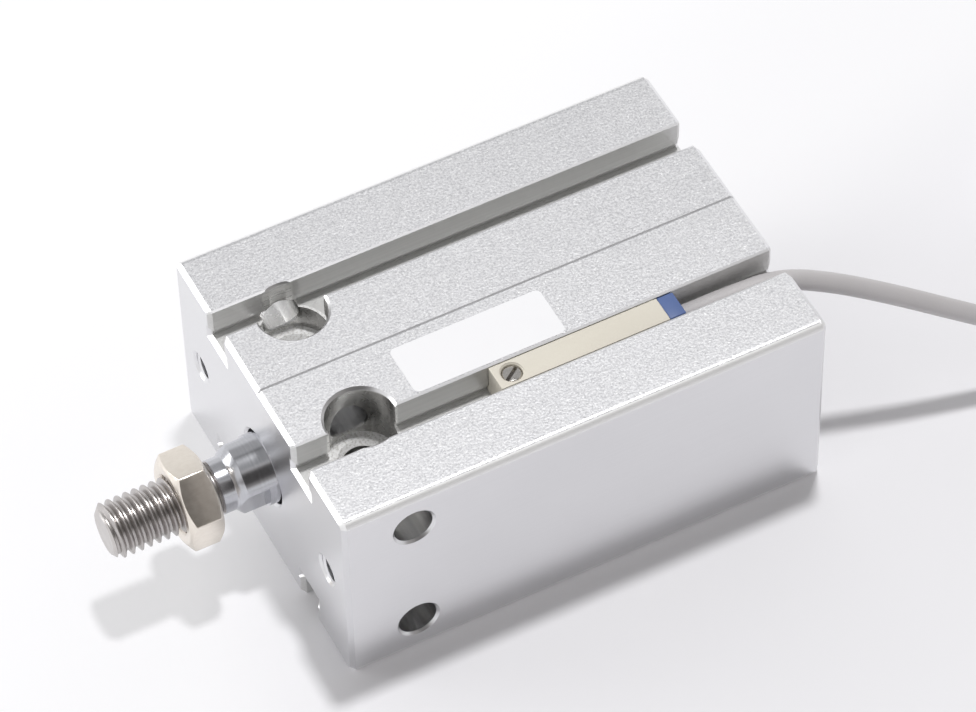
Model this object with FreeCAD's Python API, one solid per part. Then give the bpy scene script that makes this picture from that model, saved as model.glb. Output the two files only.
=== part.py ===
import FreeCAD, Part
import math
import os

# A compact block cylinder with a magnetic piston, a switch in one of its slots and the switch's lead.
# Millimetres. The origin is the centre of the front face, on the rod's axis. +X is the way the rod
# comes out, +Y the narrow side without air ports, and +Z is up. The block lies on a wide face.

V = FreeCAD.Vector

# Overall length, from the rear face to the rod's tip with the rod in
overall_length = 93.5

# Block, cut from an aluminium extrusion
body_width = 50.0
body_height = 32.0
long_edge_radius = 1.2
end_chamfer = 0.6
centre_line_width = 0.3
centre_line_depth = 0.12

# Switch slots, two on each wide face, with a small undercut at the bottom
slot_spacing = 25.0
slot_mouth = 4.2
slot_depth = 5.0
slot_undercut = 0.45
slot_undercut_height = 1.1
slot_mouth_chamfer = 0.3
slot_mouth_fall = 0.15

# Fixing holes near the rod end
hole_dia = 5.5
hole_setback = 10.0
hole_rim = 0.35
seat_rim = 0.6
top_hole_spacing = 20.0
counterbore_dia = 9.5
counterbore_depth = 9.0
side_hole_spacing = 20.0
tap_drill_dia = 4.2
tap_depth = 8.0
tap_spacing = 38.0
drill_point_angle = 118.0

# Air ports in the narrow side
port_drill_dia = 4.2
port_depth = 6.0
port_passage_dia = 2.5

# Bore, front wall and rear closure
bore_dia = 25.0
head_thickness = 16.0
cover_thickness = 6.0
cover_flange = 3.0
cover_step = 0.5
cover_recess_dia = 16.0
cover_recess_depth = 2.0
clip_groove_width = 1.2
clip_groove_depth = 0.7
clip_radial_width = 2.0
clip_gap_angle = 50.0
clip_ear_dia = 3.8
clip_ear_hole_dia = 1.6
rear_rim = 2.3
oring_section = 1.4
oring_groove_width = 1.9

# Rod guide and rod seal in the front wall
bush_length = 9.6
bush_wall = 1.2
rod_seal_width = 3.0
rod_seal_section = 2.1
rod_seal_cover = 1.8

# Piston rod
rod_dia = 10.0
rod_reach = 23.0
thread_dia = 8.0
thread_length = 15.5
thread_chamfer = 1.0
neck_undercut = 0.2
neck_length = 2.1
shank_cone = 1.2
flats_across = 8.0
flats_length = 4.2
flats_angle = -19.0
rod_spigot_dia = 7.0

# Nut on the rod's thread
nut_across_flats = 12.0
nut_thickness = 5.0
nut_from_tip = 9.8
nut_corner_angle = 17.3
nut_chamfer_angle = 30.0
nut_face_share = 0.93

# Piston, in two halves with the magnet between them
piston_radial_gap = 0.3
bumper_thickness = 1.5
bumper_tongue = 1.0
bumper_tongue_width = 1.0
spigot_dia = 17.0
rear_spigot_length = 4.0
front_spigot_length = 3.0
end_land = 1.5
inner_land = 1.3
seal_width = 3.0
seal_section = 3.0
seal_notch = 0.8
magnet_width = 4.0
magnet_inset = 0.4
magnet_hub_dia = 12.0
wear_land = 1.0
wear_ring_width = 3.0
wear_ring_section = 1.25
wear_ring_gap = 1.0
piston_oring_section = 1.3
piston_nut_across_flats = 10.0
piston_nut_thickness = 3.2
piston_nut_recess_depth = 3.6

# Switch in the slot on the +Y side
switch_length = 27.1
switch_band = 2.4
switch_recess = 0.15
reed_from_front = 19.4
screw_from_front = 2.4
screw_dia = 2.8
screw_recess = 0.35
screw_slot_width = 0.5
screw_slot_depth = 0.7
screw_slot_angle = 35.0
pocket_length = 14.0
pocket_width = 2.7
pocket_height = 2.8
board_thickness = 0.6
reed_dia = 1.7
reed_length = 9.0

# Label on top
label_length = 22.0
label_width = 8.0
label_thickness = 0.08
label_from_front = 18.0
label_corner = 0.8

# Lead of the switch: a round jacket with two cores, and the coil that its spare length is wound into
cord_dia = 2.8
cord_arc_share = 0.45
lead_rise = 0.35
lead_run = [
    # behind the rear face, out from the slot's middle, share of the way down to the coil
    (-0.3, 0.5, 0.0), (6.7, 2.5, 0.1), (14.1, 5.4, 0.235), (21.5, 8.0, 0.4), (28.9, 10.4, 0.57),
    (35.9, 12.4, 0.745), (42.5, 13.9, 0.885), (48.3, 14.6, 0.965), (52.9, 14.8, 0.998),
]
coil_behind = 61.5
coil_out = -4.5
coil_mid_dia = 33.6
coil_columns = 3
coil_rows = 3
coil_entry_angle = 76.0
coil_turns = 8.4
core_dia = 1.1
core_length = 27.0
core_runs = 4
core_drift = {-1: 0.3, 1: 0.9}
tie_angle = 130.0
tie_width = 3.0
tie_thickness = 0.4
tie_head = 2.0

# Clearances
running_gap = 0.05
seat_gap = 0.02
slot_side_gap = 0.15
rod_hole_gap = 0.4
nut_recess_gap = 0.3
label_slot_gap = 0.1
lead_gap = 0.1
stop_gap = 0.1
cut_over = 1.0

# Places along the rod's axis, with the rod in; the stroke is what the block's length leaves
x_head = -head_thickness
piston_group = (
    2 * bumper_thickness + rear_spigot_length + end_land + seal_width + inner_land
    + magnet_width + 2 * wear_land + wear_ring_width + front_spigot_length
)
x_rear = rod_reach - overall_length
x_clip_back = x_rear + rear_rim
x_cover_back = x_clip_back + clip_groove_width
x_cover = x_cover_back + cover_thickness
stroke = x_head - x_cover - piston_group - 2 * stop_gap
x_shoulder = x_cover_back + cover_flange
x_bumper_back = x_cover + stop_gap
x_piston_back = x_bumper_back + bumper_thickness
x_land_back = x_piston_back + rear_spigot_length
x_seal_back = x_land_back + end_land
x_seal_front = x_seal_back + seal_width
x_magnet_back = x_seal_front + inner_land
x_magnet_front = x_magnet_back + magnet_width
x_wear_back = x_magnet_front + wear_land
x_wear_front = x_wear_back + wear_ring_width
x_land_front = x_wear_front + wear_land
x_piston_front = x_land_front + front_spigot_length
x_nut_seat = x_piston_back + piston_nut_recess_depth
x_front_port = x_head - stop_gap - bumper_thickness - front_spigot_length / 2
x_rear_port = x_piston_back + rear_spigot_length / 2
x_thread = rod_reach - thread_length
x_shank = x_thread - neck_length
x_nut = rod_reach - nut_from_tip
x_bush = x_head + bush_length
x_switch_front = (x_magnet_back + x_magnet_front) / 2 + reed_from_front
x_switch_back = x_switch_front - switch_length
x_band = x_switch_back + switch_band
x_switch_screw = x_switch_front - screw_from_front

# Radii and heights that several pieces share
top = body_height / 2
floor_level = -top
bore_r = bore_dia / 2
rod_r = rod_dia / 2
rod_hole_r = rod_r + rod_hole_gap
thread_r = thread_dia / 2
nut_recess_r = piston_nut_across_flats / math.sqrt(3) + nut_recess_gap
land_r = bore_r - piston_radial_gap
slide_r = bore_r - running_gap
bush_r = rod_r + bush_wall
seal_seat_r = bore_r - seal_section
wear_seat_r = slide_r - wear_ring_section
cover_seat_r = bore_r + cover_step
clip_r = cover_seat_r + clip_groove_depth
rod_seal_r = rod_r + rod_seal_section
rod_spigot_r = rod_spigot_dia / 2
spigot_r = spigot_dia / 2
magnet_hub_r = magnet_hub_dia / 2
slot_y = slot_spacing / 2
slot_floor = top - slot_depth
switch_bottom = slot_floor + running_gap
switch_top = top - switch_recess
flange_top = slot_floor + slot_undercut_height - slot_side_gap
flange_half = slot_mouth / 2 + slot_undercut - slot_side_gap
switch_half = slot_mouth / 2 - slot_side_gap
cord_r = cord_dia / 2
coil_width = coil_columns * cord_dia
coil_height = coil_rows * cord_dia
coil_bottom = floor_level + tie_thickness + 2 * lead_gap
coil_top = coil_bottom + coil_height
coil_x = x_rear - coil_behind
coil_y = slot_y + coil_out
coil_outer_turn_r = coil_mid_dia / 2 + (coil_columns - 1) * cord_dia / 2
coil_inner_turn_r = coil_mid_dia / 2 - (coil_columns - 1) * cord_dia / 2


# Helpers
def box(x, y, z):
    """A box from three (low, high) pairs."""
    size = [high - low for low, high in (x, y, z)]
    return Part.makeBox(size[0], size[1], size[2], V(x[0], y[0], z[0]))


def turned(corners):
    """A turned solid about the X axis, from (x, radius) corners."""
    points = [V(x, r, 0) for x, r in corners]
    face = Part.Face(Part.makePolygon(points + points[:1]))
    return face.revolve(V(0, 0, 0), V(1, 0, 0), 360)


def ring(x0, x1, inner, outer):
    """A plain ring about the X axis."""
    return turned([(x0, inner), (x1, inner), (x1, outer), (x0, outer)])


def round_ring(x, radius, section):
    """A ring of round section about the X axis."""
    return Part.makeTorus(radius, section / 2, V(x, 0, 0), V(1, 0, 0))


def hole(radius, mouth, inward, depth, rim=0.0):
    """The void of a drilled hole that starts at mouth, with a 45 degree rim."""
    start = mouth - inward * cut_over
    void = Part.makeCylinder(radius, depth + cut_over, start, inward)
    if rim:
        flare = rim + cut_over
        void = void.fuse(Part.makeCone(radius + flare, radius, flare, start, inward))
    return void


def drill_point(radius, place, inward):
    """The cone that a drill leaves at the bottom of a blind hole."""
    depth = radius / math.tan(math.radians(drill_point_angle / 2))
    return Part.makeCone(radius, 0, depth, place, inward)


def hexagon(across, x0, x1, corner_angle):
    """A hexagonal bar about the X axis, with its first corner at corner_angle from +Y towards +Z."""
    radius = across / math.sqrt(3)
    corners = []
    for k in range(6):
        a = math.radians(corner_angle + 60 * k)
        corners.append(V(x0, radius * math.cos(a), radius * math.sin(a)))
    face = Part.Face(Part.makePolygon(corners + corners[:1]))
    return face.extrude(V(x1 - x0, 0, 0))


def hex_nut(across, x0, x1, bore_radius, corner_angle):
    """A hexagonal nut, chamfered on both faces, with a plain bore for the thread."""
    corner = across / math.sqrt(3)
    face_r = nut_face_share * across / 2
    rise = (corner - face_r) * math.tan(math.radians(nut_chamfer_angle))
    blank = turned([
        (x0, 0), (x0, face_r), (x0 + rise, corner),
        (x1 - rise, corner), (x1, face_r), (x1, 0),
    ])
    nut = hexagon(across, x0, x1, corner_angle).common(blank)
    forward = V(1, 0, 0)
    bore = hole(bore_radius, V(x0, 0, 0), forward, x1 - x0 + cut_over, hole_rim)
    mouth = hole(bore_radius, V(x1, 0, 0), -forward, hole_rim, hole_rim)
    return nut.cut([bore, mouth])


# Block
def slot_corners(inset):
    """Half of a slot's section, from its mouth to its floor, as (sideways, depth) corners.
    An inset widens the slot on every side, as the block's end chamfer does."""
    mouth = slot_mouth / 2 + inset
    undercut = mouth + slot_undercut
    lip = slot_depth - slot_undercut_height - inset
    return [
        (mouth + slot_mouth_chamfer, inset),
        (mouth, inset + slot_mouth_fall),
        (mouth, lip),
        (undercut, lip),
        (undercut, slot_depth + inset),
    ]


def block_outline(x, inset):
    """The extrusion's outline at x, drawn inwards by inset."""
    radius = long_edge_radius - inset
    half_width = body_width / 2 - inset
    half_height = top - inset
    half = slot_corners(inset)
    slot = half + [(-sideways, depth) for sideways, depth in reversed(half)]
    edges = []

    def line(a, b):
        edges.append(Part.LineSegment(V(x, *a), V(x, *b)).toShape())

    def corner(centre, start, end):
        middle = math.radians((start + end) / 2)
        points = []
        for angle in (math.radians(start), middle, math.radians(end)):
            y = centre[0] + radius * math.cos(angle)
            points.append(V(x, y, centre[1] + radius * math.sin(angle)))
        edges.append(Part.Arc(*points).toShape())

    for side, turn in ((1, 0), (-1, 180)):
        flat_y = half_width - radius
        flat_z = half_height - radius
        run = [(side * flat_y, side * half_height)]
        for slot_centre in (side * slot_y, -side * slot_y):
            for sideways, depth in slot:
                run.append((slot_centre + side * sideways, side * (top - depth)))
        run.append((-side * flat_y, side * half_height))
        for a, b in zip(run, run[1:]):
            line(a, b)
        corner((-side * flat_y, side * flat_z), turn + 90, turn + 180)
        line((-side * half_width, side * flat_z), (-side * half_width, -side * flat_z))
        corner((-side * flat_y, -side * flat_z), turn + 180, turn + 270)
    return Part.Wire(edges)


def core_void():
    """Everything that is bored along the rod's axis: rod hole, seal groove, guide, bore and clip groove."""
    return turned([
        (cut_over, 0),
        (cut_over, rod_hole_r + hole_rim + cut_over),
        (-hole_rim, rod_hole_r),
        (-rod_seal_cover, rod_hole_r),
        (-rod_seal_cover, rod_seal_r),
        (-rod_seal_cover - rod_seal_width, rod_seal_r),
        (-rod_seal_cover - rod_seal_width, rod_hole_r),
        (x_bush, rod_hole_r),
        (x_bush, bush_r),
        (x_head, bush_r),
        (x_head, bore_r),
        (x_shoulder, bore_r),
        (x_shoulder, cover_seat_r),
        (x_cover_back, cover_seat_r),
        (x_cover_back, clip_r),
        (x_clip_back, clip_r),
        (x_clip_back, cover_seat_r),
        (x_rear + hole_rim, cover_seat_r),
        (x_rear - cut_over, cover_seat_r + hole_rim + cut_over),
        (x_rear - cut_over, 0),
    ])


def top_hole_voids():
    """Two counterbored holes through the block's height."""
    down = V(0, 0, -1)
    voids = []
    for y in (-top_hole_spacing / 2, top_hole_spacing / 2):
        mouth = V(-hole_setback, y, top)
        seat = mouth + down * counterbore_depth
        bottom = V(-hole_setback, y, floor_level)
        voids.append(hole(counterbore_dia / 2, mouth, down, counterbore_depth, hole_rim))
        voids.append(hole(hole_dia / 2, seat, down, body_height, seat_rim))
        voids.append(hole(hole_dia / 2, bottom, -down, hole_rim, hole_rim))
    return voids


def side_hole_voids():
    """Two plain holes through the block's width, which cross the counterbores."""
    inward = V(0, -1, 0)
    voids = []
    for z in (-side_hole_spacing / 2, side_hole_spacing / 2):
        near = V(-hole_setback, body_width / 2, z)
        far = V(-hole_setback, -body_width / 2, z)
        voids.append(hole(hole_dia / 2, near, inward, body_width + cut_over, hole_rim))
        voids.append(hole(hole_dia / 2, far, -inward, hole_rim, hole_rim))
    return voids


def tap_voids():
    """Two blind holes in the front face, at the tapping drill's size."""
    inward = V(-1, 0, 0)
    voids = []
    for y in (-tap_spacing / 2, tap_spacing / 2):
        mouth = V(0, y, 0)
        voids.append(hole(tap_drill_dia / 2, mouth, inward, tap_depth, hole_rim))
        voids.append(drill_point(tap_drill_dia / 2, mouth + inward * tap_depth, inward))
    return voids


def port_voids():
    """Two air ports, each a tapping hole and a small passage into the bore."""
    inward = V(0, 1, 0)
    voids = []
    for x in (x_front_port, x_rear_port):
        mouth = V(x, -body_width / 2, 0)
        voids.append(hole(port_drill_dia / 2, mouth, inward, port_depth, hole_rim))
        voids.append(hole(port_passage_dia / 2, mouth, inward, body_width / 2 - bore_r / 2))
    return voids


def centre_line_void():
    """The fine V groove along the middle of the top face."""
    half = centre_line_width / 2
    corners = [V(cut_over, -half, top), V(cut_over, half, top), V(cut_over, 0, top - centre_line_depth)]
    face = Part.Face(Part.makePolygon(corners + corners[:1]))
    return face.extrude(V(x_rear - 2 * cut_over, 0, 0))


def cylinder_body():
    sections = [
        block_outline(0, end_chamfer),
        block_outline(-end_chamfer, 0),
        block_outline(x_rear + end_chamfer, 0),
        block_outline(x_rear, end_chamfer),
    ]
    block = Part.makeLoft(sections, True, True)
    voids = top_hole_voids() + side_hole_voids() + tap_voids() + port_voids()
    return block.cut(voids + [core_void(), centre_line_void()])


# Rear closure
def rear_cover():
    spigot = bore_r - seat_gap
    flange = cover_seat_r - seat_gap
    groove_r = bore_r - oring_section - 2 * running_gap
    groove_middle = (x_cover + x_shoulder) / 2
    groove_front = groove_middle + oring_groove_width / 2
    groove_back = groove_middle - oring_groove_width / 2
    recess_r = cover_recess_dia / 2
    recess_floor = x_cover_back + cover_recess_depth
    return turned([
        (x_cover, 0), (x_cover, spigot),
        (groove_front, spigot), (groove_front, groove_r),
        (groove_back, groove_r), (groove_back, spigot),
        (x_shoulder, spigot), (x_shoulder, flange),
        (x_cover_back, flange), (x_cover_back, recess_r + cover_recess_depth / 2),
        (recess_floor, recess_r), (recess_floor, 0),
    ])


def rear_cover_oring():
    return round_ring((x_cover + x_shoulder) / 2, bore_r - running_gap - oring_section / 2, oring_section)


def retaining_ring():
    """A spring clip with an open gap at the bottom and an eared hole at each side of the gap."""
    front = x_cover_back - seat_gap
    thickness = clip_groove_width - 2 * seat_gap
    outer = clip_r - running_gap
    inner = cover_seat_r - clip_radial_width
    back = -V(thickness, 0, 0)
    clip = ring(front - thickness, front, inner, outer)
    half = math.radians(clip_gap_angle / 2)
    reach = 2 * outer
    wedge = Part.makePolygon([
        V(front, 0, 0),
        V(front, -reach * math.sin(half), -reach * math.cos(half)),
        V(front, reach * math.sin(half), -reach * math.cos(half)),
        V(front, 0, 0),
    ])
    clip = clip.cut(Part.Face(wedge).extrude(back))
    ear_r = clip_ear_dia / 2
    ear_circle = inner + clip_radial_width / 2 - ear_r / 2
    ear_angle = half + math.asin(ear_r / ear_circle)
    for side in (-1, 1):
        centre = V(front, side * ear_circle * math.sin(ear_angle), -ear_circle * math.cos(ear_angle))
        ear = Part.makeCylinder(ear_r, thickness, centre, V(-1, 0, 0))
        eye = Part.makeCylinder(clip_ear_hole_dia / 2, thickness, centre, V(-1, 0, 0))
        clip = clip.fuse(ear).cut(eye)
    return clip.removeSplitter()


# Rod guide
def rod_bush():
    return ring(x_head, x_bush, rod_r + running_gap, bush_r - seat_gap)


def rod_seal():
    """A lip seal that faces the bore, with its V open to the air pressure."""
    front = -rod_seal_cover - seat_gap
    back = -rod_seal_cover - rod_seal_width + seat_gap
    inner = rod_r + running_gap
    outer = rod_seal_r - seat_gap
    middle = (inner + outer) / 2
    lip = rod_seal_section / 4
    return turned([
        (front, inner + lip), (front, outer - lip / 2), (back, outer), (back, outer - lip),
        (back + rod_seal_width / 2, middle), (back, inner + lip), (back, inner),
    ])


# Rod and its nut
def piston_rod():
    """The turned rod, with two wrench flats cut behind the thread."""
    neck_r = thread_r - neck_undercut
    rod = turned([
        (rod_reach, 0),
        (rod_reach, thread_r - thread_chamfer),
        (rod_reach - thread_chamfer, thread_r),
        (x_thread, thread_r),
        (x_thread - neck_undercut, neck_r),
        (x_shank, neck_r),
        (x_shank - shank_cone, rod_r),
        (x_piston_front + seat_gap, rod_r),
        (x_piston_front + seat_gap, rod_spigot_r),
        (x_piston_back + running_gap, rod_spigot_r),
        (x_piston_back + running_gap, 0),
    ])
    flats = []
    for side in (-1, 1):
        near, far = sorted((side * flats_across / 2, side * rod_dia))
        flat = box((x_shank - flats_length, x_shank), (near, far), (-rod_dia, rod_dia))
        flat.rotate(V(0, 0, 0), V(1, 0, 0), flats_angle)
        flats.append(flat)
    return rod.cut(flats)


def rod_nut():
    return hex_nut(
        nut_across_flats, x_nut - nut_thickness, x_nut, thread_r + running_gap, nut_corner_angle
    )


# Piston
def bumper(face, outward, inner):
    """A rubber ring on a piston face, held by a tongue in a groove of that face."""
    proud = ring(*sorted((face, face + outward * bumper_thickness)), inner, spigot_r)
    middle = (inner + spigot_r) / 2
    half = bumper_tongue_width / 2 - seat_gap
    foot = sorted((face, face - outward * (bumper_tongue - seat_gap)))
    return proud.fuse(ring(*foot, middle - half, middle + half)).removeSplitter()


def bumper_groove(face, outward, inner):
    middle = (inner + spigot_r) / 2
    half = bumper_tongue_width / 2
    ends = sorted((face + outward * cut_over, face - outward * bumper_tongue))
    return ring(*ends, middle - half, middle + half)


front_bumper_inner = rod_r + seat_gap
rear_bumper_inner = nut_recess_r


def front_bumper():
    return bumper(x_piston_front, 1, front_bumper_inner)


def rear_bumper():
    return bumper(x_piston_back, -1, rear_bumper_inner)


def piston_front():
    """The front half: hub for the magnet, land with the wear ring's groove, and a spigot."""
    bore = rod_spigot_r + seat_gap
    seat = bore + piston_oring_section + running_gap
    hub = magnet_hub_r - seat_gap
    body = turned([
        (x_magnet_back + seat_gap, bore), (x_magnet_back + seat_gap, hub),
        (x_magnet_front, hub), (x_magnet_front, land_r),
        (x_wear_back, land_r), (x_wear_back, wear_seat_r),
        (x_wear_front, wear_seat_r), (x_wear_front, land_r),
        (x_land_front, land_r), (x_land_front, spigot_r),
        (x_piston_front, spigot_r), (x_piston_front, seat),
        (x_piston_front - piston_oring_section - running_gap, seat),
        (x_piston_front - piston_oring_section - running_gap, bore),
    ])
    return body.cut(bumper_groove(x_piston_front, 1, front_bumper_inner))


def piston_rear():
    """The rear half: lands each side of the seal's groove, and a spigot with a recess for the nut."""
    bore = rod_spigot_r + seat_gap
    body = turned([
        (x_magnet_back, bore), (x_magnet_back, land_r),
        (x_seal_front, land_r), (x_seal_front, seal_seat_r),
        (x_seal_back, seal_seat_r), (x_seal_back, land_r),
        (x_land_back, land_r), (x_land_back, spigot_r),
        (x_piston_back, spigot_r), (x_piston_back, nut_recess_r),
        (x_nut_seat, nut_recess_r), (x_nut_seat, bore),
    ])
    return body.cut(bumper_groove(x_piston_back, -1, rear_bumper_inner))


def piston_magnet():
    return ring(x_magnet_back + seat_gap, x_magnet_front - seat_gap, magnet_hub_r, land_r - magnet_inset)


def piston_seal():
    """A two-way seal with a shallow V between its two lips."""
    back = x_seal_back + running_gap
    front = x_seal_front - running_gap
    inner = seal_seat_r + running_gap
    middle = (back + front) / 2
    return turned([
        (back, inner), (front, inner), (front, slide_r), (front - seal_notch, slide_r),
        (middle, slide_r - seal_notch), (back + seal_notch, slide_r), (back, slide_r),
    ])


def wear_ring():
    """A split guide ring."""
    back = x_wear_back + running_gap
    front = x_wear_front - running_gap
    whole = ring(back, front, wear_seat_r + running_gap, slide_r)
    half = wear_ring_gap / 2
    return whole.cut(box((back - cut_over, front + cut_over), (-half, half), (0, bore_dia)))


def piston_oring():
    radius = rod_spigot_r + seat_gap + piston_oring_section / 2
    middle = x_piston_front - piston_oring_section / 2
    return round_ring(middle, radius, piston_oring_section - 2 * seat_gap)


def piston_nut():
    front = x_nut_seat - seat_gap
    return hex_nut(
        piston_nut_across_flats, front - piston_nut_thickness, front, rod_spigot_r + seat_gap, 0.0
    )


# Switch
def switch_section(x):
    """The switch's section: a narrow body on a wider flange that runs under the slot's lips."""
    right = [
        (flange_half, switch_bottom), (flange_half, flange_top),
        (switch_half, flange_top), (switch_half, switch_top),
    ]
    corners = right + [(-y, z) for y, z in reversed(right)]
    points = [V(x, slot_y + y, z) for y, z in corners]
    return Part.Face(Part.makePolygon(points + points[:1]))


def switch_pocket():
    half = pocket_width / 2
    return box(
        (x_band, x_band + pocket_length), (slot_y - half, slot_y + half),
        (flange_top, flange_top + pocket_height),
    )


def switch_housing():
    body = switch_section(x_band).extrude(V(x_switch_front - x_band, 0, 0))
    top_of_screw_hole = V(x_switch_screw, slot_y, switch_top)
    bore = hole(screw_dia / 2 + running_gap, top_of_screw_hole, V(0, 0, -1), body_height)
    return body.cut([switch_pocket(), bore])


def switch_end_band():
    return switch_section(x_switch_back).extrude(V(switch_band - seat_gap, 0, 0))


def switch_screw():
    """A slotted set screw that clamps the switch in the slot."""
    low = slot_floor + 2 * running_gap
    high = switch_top - screw_recess
    screw = Part.makeCylinder(screw_dia / 2, high - low, V(x_switch_screw, slot_y, low))
    half = screw_slot_width / 2
    cut = box((-screw_dia, screw_dia), (-half, half), (high - screw_slot_depth, high + cut_over))
    cut.rotate(V(0, 0, 0), V(0, 0, 1), screw_slot_angle)
    cut.translate(V(x_switch_screw, slot_y, 0))
    return screw.cut(cut)


def switch_board():
    half = pocket_width / 2 - running_gap
    low = flange_top + seat_gap
    return box(
        (x_band + seat_gap, x_band + pocket_length - running_gap), (slot_y - half, slot_y + half),
        (low, low + board_thickness),
    )


def reed_switch():
    """A glass capsule with round ends, which lies on the board."""
    radius = reed_dia / 2
    height = flange_top + board_thickness + 2 * seat_gap + radius
    back = x_switch_front - reed_from_front - reed_length / 2
    straight = reed_length - reed_dia
    capsule = Part.makeCylinder(radius, straight, V(back + radius, slot_y, height), V(1, 0, 0))
    for x in (back + radius, back + radius + straight):
        capsule = capsule.fuse(Part.makeSphere(radius, V(x, slot_y, height)))
    return capsule.removeSplitter()


def label():
    outer = slot_y - slot_mouth / 2 - slot_mouth_chamfer - label_slot_gap
    plate = box(
        (-label_from_front - label_length, -label_from_front), (outer - label_width, outer),
        (top, top + label_thickness),
    )
    upright = [e for e in plate.Edges if abs(e.tangentAt(e.FirstParameter).z) > 0.5]
    return plate.makeFillet(label_corner, upright)


# Lead
def coil_point(radius, angle, height):
    """A point of the coil, from its radius, its angle in degrees from +X towards +Y, and its height."""
    turn = math.radians(angle)
    return (coil_x + radius * math.cos(turn), coil_y + radius * math.sin(turn), height)


def lead_points():
    """The lead's corners: along the slot's floor, over the rear edge and down to the coil's lowest turn."""
    high = slot_floor + cord_r + lead_rise
    low = coil_bottom + cord_r
    points = [(x_switch_back, slot_y, high), ((x_switch_back + x_rear) / 2, slot_y, high)]
    for behind, out, share in lead_run:
        points.append((x_rear - behind, slot_y + out, high + share * (low - high)))
    return points + [coil_point(coil_outer_turn_r, coil_entry_angle, low)]


def cord_path(points):
    """Straight runs joined by tangent arcs, each arc as large as its two runs allow."""
    points = [V(*p) for p in points]
    edges = []
    radii = []
    start = points[0]
    for before, corner, after in zip(points, points[1:], points[2:]):
        way_in = (corner - before).normalize()
        way_out = (after - corner).normalize()
        half_turn = way_in.getAngle(way_out) / 2
        reach = cord_arc_share * min((corner - before).Length, (after - corner).Length)
        radius = reach / math.tan(half_turn)
        arc_start = corner - way_in * reach
        arc_end = corner + way_out * reach
        inside = (way_out - way_in).normalize()
        middle = corner + inside * (radius / math.cos(half_turn) - radius)
        edges.append(Part.LineSegment(start, arc_start).toShape())
        edges.append(Part.Arc(arc_start, middle, arc_end).toShape())
        start = arc_end
        radii.append(radius)
    edges.append(Part.LineSegment(start, points[-1]).toShape())
    return Part.Wire(edges), radii


def cord_tube(points, diameter, name):
    path, radii = cord_path(points)
    first = V(*points[0])
    along = V(*points[1]) - first
    section = Part.Wire(Part.makeCircle(diameter / 2, first, along))
    tube = path.makePipeShell([section], True, False)
    whole = math.pi * diameter ** 2 / 4 * path.Length
    print(name, "length", round(path.Length, 2), "volume share", round(tube.Volume / whole, 4))
    print(name, "radii", [round(r, 1) for r in radii])
    return tube


def switch_lead():
    return cord_tube(lead_points(), cord_dia, "switch_lead")


def lead_coil():
    """The outer shape of the wound coil: a ring with its edges cut back to the outermost turns."""
    centre = V(coil_x, coil_y, coil_bottom)
    outer = Part.makeCylinder(coil_mid_dia / 2 + coil_width / 2, coil_height, centre)
    inner = Part.makeCylinder(coil_mid_dia / 2 - coil_width / 2, coil_height, centre)
    coil = outer.cut(inner)
    rims = [e for e in coil.Edges if isinstance(e.Curve, Part.Circle)]
    return coil.makeChamfer((2 - math.sqrt(2)) * cord_r, rims)


def coil_tie():
    """A strap round the coil's section, with a small locking head outside."""
    inner_half = coil_width / 2 + 2 * lead_gap
    outer_half = inner_half + tie_thickness
    half = tie_width / 2
    low = floor_level + lead_gap / 2
    high = coil_top + lead_gap + tie_thickness
    middle = coil_mid_dia / 2
    strap = box((middle - outer_half, middle + outer_half), (-half, half), (low, high))
    window = box(
        (middle - inner_half, middle + inner_half), (-half, half),
        (low + tie_thickness, high - tie_thickness),
    )
    head_low = (low + high - tie_width) / 2
    head = box(
        (middle + outer_half, middle + outer_half + tie_head), (-half, half),
        (head_low, head_low + tie_width),
    )
    tie = strap.cut(window).fuse(head).removeSplitter()
    tie.rotate(V(0, 0, 0), V(0, 0, 1), tie_angle)
    tie.translate(V(coil_x, coil_y, 0))
    return tie


def lead_core(side, name):
    """One bare-ended core that lies on the coil's top turns, from the jacket's end onwards."""
    height = coil_top + core_dia / 2 + running_gap
    jacket_end = coil_entry_angle + 360 * coil_turns
    points = []
    for k in range(core_runs + 1):
        radius = coil_inner_turn_r + side * (core_dia / 2 + running_gap) + k * core_drift[side]
        angle = jacket_end + k * math.degrees(core_length / core_runs / radius)
        points.append(coil_point(radius, angle, height))
    return cord_tube(points, core_dia, name)


def lead_core_brown():
    return lead_core(-1, "lead_core_brown")


def lead_core_blue():
    return lead_core(1, "lead_core_blue")


pieces = [
    cylinder_body, rear_cover, rear_cover_oring, retaining_ring, rod_bush, rod_seal,
    piston_rod, rod_nut, piston_front, piston_rear, piston_magnet, piston_seal, wear_ring,
    front_bumper, rear_bumper, piston_oring, piston_nut,
    switch_housing, switch_end_band, switch_screw, switch_board, reed_switch, label,
    switch_lead, lead_coil, coil_tie, lead_core_brown, lead_core_blue,
]

print("stroke", round(stroke, 3))
os.makedirs("parts", exist_ok=True)
for make in pieces:
    shape = make()
    shape.exportStep("parts/" + make.__name__ + ".step")
    volume = round(shape.Volume, 1)
    print(make.__name__, "solids", len(shape.Solids), "valid", shape.isValid(), "volume", volume)
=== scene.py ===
# %% [markdown]
# A compact block air cylinder with a position switch.
# The block, its piston and its switch come as finished solids with their joints. This lesson gives them
# their looks: it models the pieces that need finer shapes, such as the thread and the lead, and builds
# a finish for every surface. Lengths are metres, in the solids' own frame, and mm() makes them from
# millimetres.

# %% Load the solids
import math

import bmesh
import bpy
from mathutils import Matrix, Vector


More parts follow.
